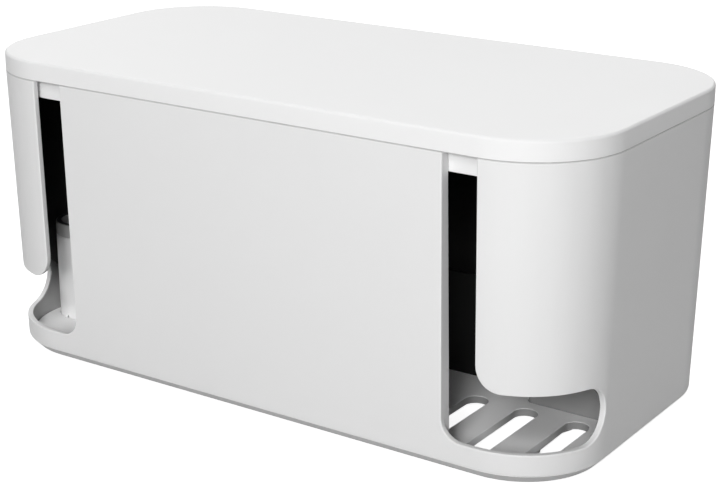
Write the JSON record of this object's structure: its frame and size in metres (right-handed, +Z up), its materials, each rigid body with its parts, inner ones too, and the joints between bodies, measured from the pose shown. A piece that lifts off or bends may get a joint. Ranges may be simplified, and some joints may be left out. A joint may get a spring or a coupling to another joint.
{
  "type": "cable management box",
  "caption": "Round-cornered white box that hides a power strip and its cables, with a flat lift-off lid, J-shaped cable openings at both front corners and a vented floor.",
  "frame": {"origin": "centre of the plan on the surface that the feet stand on", "axes": "+X along the box to the right, +Y to the back, +Z up; both cable openings are at the front"},
  "size_m": [0.3, 0.1524, 0.138],
  "materials": {
    "shell_white": "fine matte moulding",
    "lid_white": "fine matte moulding",
    "base_white": "fine matte moulding",
    "rest_white": "fine matte moulding",
    "rest_grey": "matte moulding",
    "lip_grey": "soft matte",
    "divider_black": "matte moulding",
    "lining_black": "thin felt",
    "foot_grey": "soft matte",
    "screw_steel": "zinc plated"
  },
  "bodies": {
    "box": {"body_shell": "shell_white", "base_plate": "base_white", "left_rest": "rest_white", "right_rest": "rest_grey", "left_rest_lip": "lip_grey", "right_rest_lip": "lip_grey", "divider": "divider_black", "liner_front": "lining_black", "liner_wrap": "lining_black", "foot_front_left": "foot_grey", "foot_front_right": "foot_grey", "foot_rear_left": "foot_grey", "foot_rear_right": "foot_grey", "base_screws": "screw_steel"},
    "lid": {"lid": "lid_white"}
  },
  "joints": [
    {"name": "lid_lift", "type": "slide", "parent": "box", "child": "lid", "axis": [0, 0, 1], "range_m": [0, 0.15]}
  ]
}
